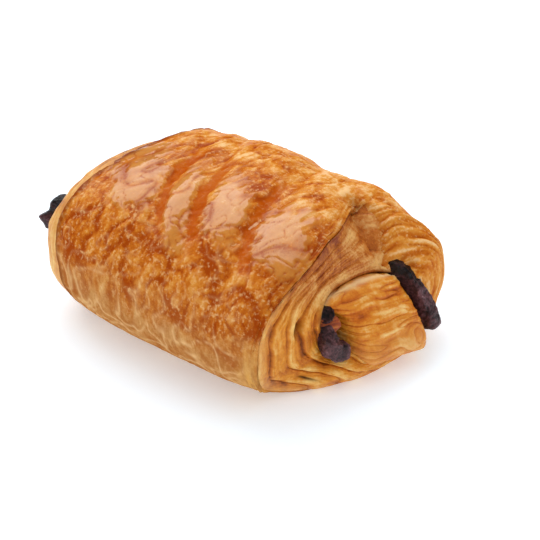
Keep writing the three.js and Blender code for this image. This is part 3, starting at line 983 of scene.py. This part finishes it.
def layerFinish():
    c = layerLook
    f = Finish("layered dough")
    leaf, sub, strands, sunk = f.attributes("leaf", "sub", "strands", "sunk")
    lip, cove, pit, light = f.attributes("lip", "cove", "pit", "light")
    grain = f.noise(doughLook["grain"], 4, 0.6, 0.5)
    broad = f.noise(c["broad"], 3, 0.5, 0.5)
    # darker down the grooves between the leaves, partly the dough's own colour and partly painted shade
    tone = (leaf * 0.55 + sub * 0.08 + strands * 0.24 + (grain - 0.5) * 0.4 + (broad - 0.5) * 1.3
            + light * 0.14 - 0.01).clamped()
    colour = f.ramp(tone, (0.0, c["groove"]), (0.2, c["shade"]), (0.5, c["mid"]), (0.88, c["pale"]))
    coveTone = (strands * 0.34 + (leaf - 0.7) * 0.5 + (grain - 0.5) * 0.9 + (broad - 0.5) * 1.6 + 0.4
                - lip * 0.2 + light * 0.36).clamped()
    inCove = f.ramp(coveTone, (0.05, c["coveDeep"]), (0.45, c["cove"]), (0.95, c["covePale"]))
    colour = f.blend(cove, colour, inCove)
    colour = f.blend(lip * (1 - cove) * 0.25, colour, tint(c["cream"]))
    # painted shade: near black down the crevice's floor, most where the batons come out, and in the small
    # holes
    colour = f.blend((sunk * 0.95 + pit * 0.9).clamped(), colour, tint(c["dark"]))
    return doughSurface(f, colour, c["roughness"], grain, strands)


tongueLook = {
    "deep": "a0470a", "shade": "cc6a14", "mid": "e08e2a", "pale": "f8d48a", "rim": "f3d49c",
    "under": "dc9a56", "broad": 130, "roughness": 0.5,
}


def tongueFinish():
    c = tongueLook
    f = Finish("tongue dough")
    folds, creases, streaks, rim, under = f.attributes("folds", "creases", "streaks", "rim", "under")
    grain = f.noise(doughLook["grain"], 4, 0.6, 0.5)
    broad = f.noise(c["broad"], 4, 0.6, 0.5)
    # paler along the streaks, partly the lamination's own colour and partly painted highlights; darker in the
    # creases as painted shade
    tone = (folds * 0.38 + streaks * 0.42 + (grain - 0.5) * 0.4 + (broad - 0.5) * 1.2 + 0.5
            - creases * 0.2).clamped()
    colour = f.ramp(tone, (0.0, c["deep"]), (0.28, c["shade"]), (0.55, c["mid"]), (0.95, c["pale"]))
    colour = f.blend(rim * 0.75, colour, tint(c["rim"]))
    colour = f.blend(under * 0.45, colour, tint(c["under"]))
    return doughSurface(f, colour, c["roughness"], grain, streaks)


flakeLook = {"deep": "6a2006", "mid": "a8480e", "pale": "d98430", "roughness": 0.5, "coat": 0.2,
             "coatRoughness": 0.3, "bumpHeight": 0.0002, "bump": 0.5, "scatter": 0.3, "scatterScale": 0.001}


def flakeFinish():
    c = flakeLook
    f = Finish("thin dough flake")
    streaks, = f.attributes("streaks")
    grain = f.noise(doughLook["grain"], 4, 0.6, 0.5)
    tone = (streaks * 0.5 + (grain - 0.5) * 0.6 + 0.45).clamped()
    colour = f.ramp(tone, (0.0, c["deep"]), (0.5, c["mid"]), (1.0, c["pale"]))
    bump = f.bump(grain + streaks * 0.4, c["bumpHeight"], c["bump"])
    return f.set(Base_Color=colour, Roughness=c["roughness"], Coat_Weight=c["coat"],
                 Coat_Roughness=c["coatRoughness"], Normal=bump, Subsurface_Weight=c["scatter"],
                 Subsurface_Radius=scatterRadius, Subsurface_Scale=c["scatterScale"])


chocolateLook = {"black": "140808", "dark": "462628", "dull": "744a4e", "dusty": "ac8686", "grain": 1500,
                 "bloom": 500, "roughness": 0.46, "specular": 0.32, "coat": 0.1, "coatRoughness": 0.2,
                 "bumpHeight": 0.0005, "bump": 0.8}


def chocolateFinish():
    c = chocolateLook
    f = Finish("baked chocolate")
    bumps, grit, charred = f.attributes("bumps", "grit", "charred")
    grain = f.noise(c["grain"], 4, 0.6)
    bloom = f.noise(c["bloom"], 3, 0.6, 0.6)
    # painted shade: black higher up, where the batons lie in the hollows
    tone = (bumps * 0.35 - grit * 0.5 + (grain - 0.5) * 0.7 + (bloom - 0.5) * 1.2 + 0.56
            - charred * 0.42).clamped()
    colour = f.ramp(tone, (0.05, c["black"]), (0.42, c["dark"]), (0.8, c["dull"]), (1.0, c["dusty"]))
    bump = f.bump(grain + bloom * 0.5, c["bumpHeight"], c["bump"])
    return f.set(Base_Color=colour, Roughness=c["roughness"], Specular_IOR_Level=c["specular"],
                 Coat_Weight=c["coat"], Coat_Roughness=c["coatRoughness"], Normal=bump)


crustPiece.data.materials.append(crustFinish())
layers = layerFinish()
nearPiece.data.materials.append(layers)
farPiece.data.materials.append(layers)
tonguePiece.data.materials.append(tongueFinish())
flakePiece.data.materials.append(flakeFinish())
chocolate = chocolateFinish()
for name, piece in batons.items():
    piece.data.materials.append(chocolate)
    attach(piece, "root")
    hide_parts(name)
for piece in (crustPiece, nearPiece, tonguePiece, farPiece, flakePiece):
    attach(piece, "root")
    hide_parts("pastry")
print("finishes made")


# floor, light, camera
studio = {
    "keyFrom": (-0.60, 0.38, 0.70), "keyDistance": 1.3, "keySize": (1.35, 0.95), "keyPower": 9.8,
    "ambient": 0.84, "mirrored": 0.1,  # the surroundings' light, and how much of it shows in reflections
    "floorReach": 4,  # metres to each side
    "floorColour": (0.8, 0.9, 0.99, 1), "floorRoughness": 0.7, "floorSpecular": 0.1,
    "floorGlow": 0.31,
    "aimLevel": 0.02,  # height that the light and the camera point at
}
far = studio["floorReach"]
floorMesh = bpy.data.meshes.new("floor")
floorMesh.from_pydata([(-far, -far, 0), (far, -far, 0), (far, far, 0), (-far, far, 0)], [], [(0, 1, 2, 3)])
floor = bpy.data.objects.new("floor", floorMesh)
scene.collection.objects.link(floor)
floorMesh.materials.append(Finish("pale floor").set(
    Base_Color=studio["floorColour"], Roughness=studio["floorRoughness"],
    Specular_IOR_Level=studio["floorSpecular"], Emission_Color=(1, 1, 1, 1),
    Emission_Strength=studio["floorGlow"]))

# white surroundings, dimmer in reflections, so that the glaze mirrors little but the key
world = bpy.data.worlds.new("soft surroundings")
world.use_nodes = True
background = world.node_tree.nodes["Background"]
background.inputs["Color"].default_value = (1, 1, 1, 1)
rays = world.node_tree.nodes.new("ShaderNodeLightPath")
brightness = world.node_tree.nodes.new("ShaderNodeMapRange")
brightness.inputs["To Min"].default_value = studio["ambient"]
brightness.inputs["To Max"].default_value = studio["mirrored"]
world.node_tree.links.new(rays.outputs["Is Glossy Ray"], brightness.inputs["Value"])
world.node_tree.links.new(brightness.outputs["Result"], background.inputs["Strength"])
scene.world = world

key = bpy.data.lights.new("key", "AREA")
key.shape = "RECTANGLE"
key.size, key.size_y = studio["keySize"]
key.energy = studio["keyPower"]
keyLight = bpy.data.objects.new("key", key)
scene.collection.objects.link(keyLight)
way = Vector(studio["keyFrom"]).normalized()
keyLight.location = way * studio["keyDistance"] + Vector((0, 0, studio["aimLevel"]))
keyLight.rotation_euler = way.to_track_quat("Z", "Y").to_euler()

# the camera looks past the roll's middle, a little to its right and below it
view = {"azimuth": 43.5, "elevation": 29.5, "distance": 0.9, "focal": 198.0,
        "right": 0.00758, "down": 0.00288}
az, el = math.radians(view["azimuth"]), math.radians(view["elevation"])
right = Vector((math.cos(az), math.sin(az), 0))
back = Vector((math.sin(az) * math.cos(el), -math.cos(az) * math.cos(el), math.sin(el)))
up = back.cross(right)
centre = Vector((roll["shift"] * millimetre, 0, studio["aimLevel"]))
lens = bpy.data.cameras.new("camera")
lens.lens = view["focal"]
lens.sensor_width = 36
lens.clip_start = 0.01
camera = bpy.data.objects.new("camera", lens)
scene.collection.objects.link(camera)
stand = centre + back * view["distance"]
aim = centre + right * view["right"] - up * view["down"]
camera.location = stand
camera.rotation_euler = (aim - stand).to_track_quat("-Z", "Y").to_euler()
scene.camera = camera
scene.view_settings.view_transform = "Standard"
print("studio made")

bpy.context.view_layer.update()
